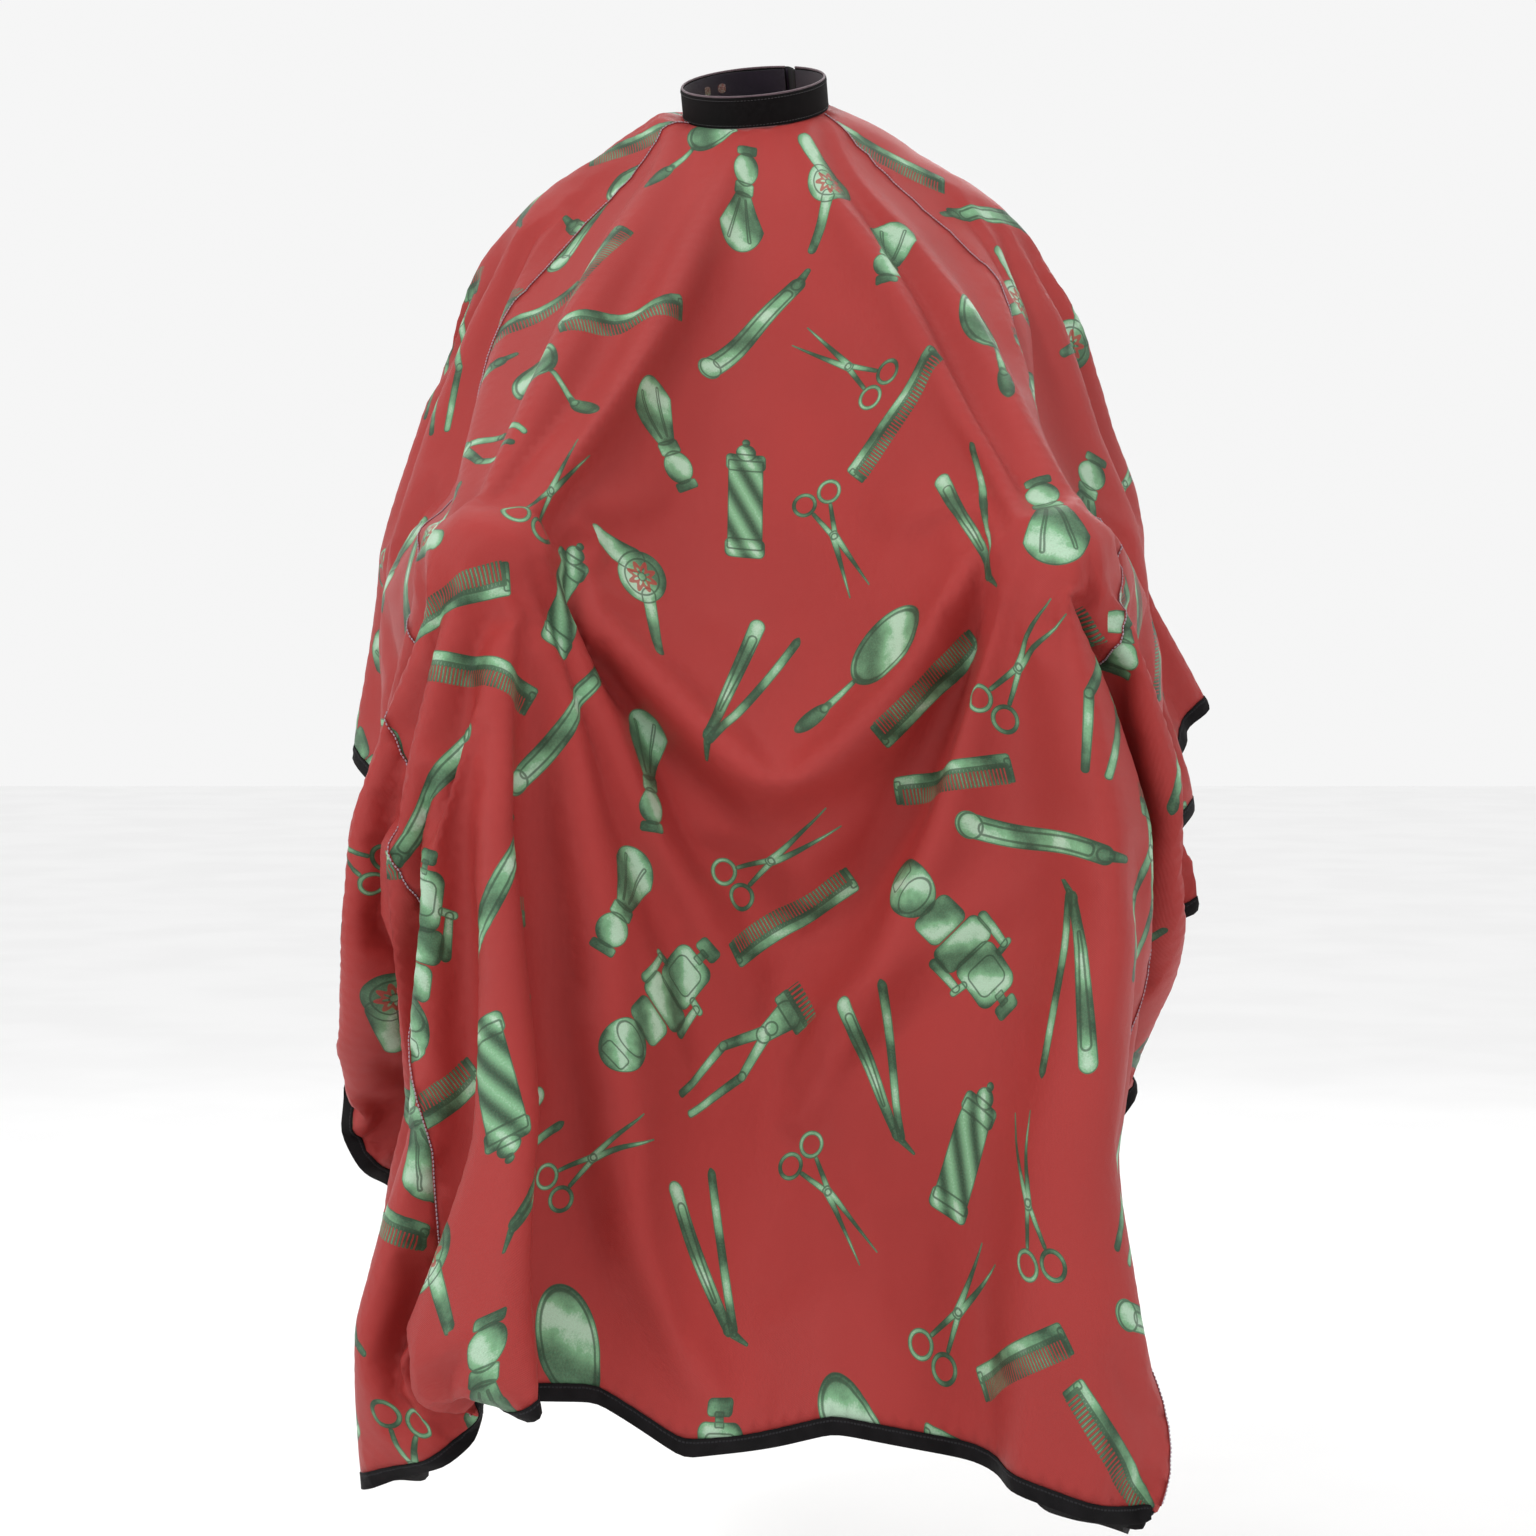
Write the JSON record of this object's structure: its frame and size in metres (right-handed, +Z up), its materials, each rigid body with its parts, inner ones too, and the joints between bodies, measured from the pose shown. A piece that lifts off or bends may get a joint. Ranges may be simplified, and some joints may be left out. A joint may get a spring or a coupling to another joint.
{
  "type": "barber cape",
  "caption": "Salon cape draped over a seated client: printed satin panels, dark bound edges and a stand-up neckband that snaps shut at the back.",
  "frame": {"origin": "middle of the neck opening, on the neckband's own axis at half its height", "axes": "+Z up; the wearer faces -Y, so the front panel is towards -Y and the opening at the nape towards +Y; +X is the wearer's left"},
  "size_m": [0.7411, 0.7787, 1.2005],
  "materials": {
    "print_cloth": "red polyester satin with a light green all-over print",
    "seam_thread": "overlocked seam with pale lilac thread",
    "black_tape": "folded black bias tape",
    "band_cloth": "matt black woven cover",
    "band_lining": "soft black lining with a purple cast",
    "stiffener": "white fused interlining, hidden",
    "piping": "black piping cord",
    "band_thread": "black topstitching",
    "snap_metal": "nickel-plated brass",
    "snap_cap": "black-lacquered brass cap"
  },
  "bodies": {
    "cape": {"front_panel": "print_cloth", "left_panel": "print_cloth", "right_panel": "print_cloth", "left_seam": "seam_thread", "right_seam": "seam_thread", "front_hem_binding": "black_tape", "left_side_binding": "black_tape", "right_side_binding": "black_tape", "left_back_hem_binding": "black_tape", "right_back_hem_binding": "black_tape", "left_opening_binding": "black_tape", "right_opening_binding": "black_tape", "neckband_cover": "band_cloth", "neckband_lining": "band_lining", "neckband_stiffener": "stiffener", "neckband_piping": "piping", "neckband_upper_stitching": "band_thread", "neckband_lower_stitching": "band_thread", "stud_1": "snap_metal", "stud_2": "snap_metal", "stud_3": "snap_metal", "stud_4": "snap_metal", "stud_5": "snap_metal", "stud_post_1": "snap_metal", "stud_post_2": "snap_metal", "stud_post_3": "snap_metal", "stud_post_4": "snap_metal", "stud_post_5": "snap_metal"},
    "closure_tab": {"tab_cover": "band_cloth", "tab_lining": "band_lining", "tab_stiffener": "stiffener", "snap_socket_1": "snap_metal", "snap_socket_2": "snap_metal", "snap_cap_1": "snap_cap", "snap_cap_2": "snap_cap"}
  },
  "joints": [
    {"name": "closure_tab_hinge", "type": "hinge", "parent": "cape", "child": "closure_tab", "pos_m": [0.03844, 0.04865, 0.02018], "axis": [0.0824, 0.3256, -0.9419], "range_deg": [0, 100]}
  ]
}
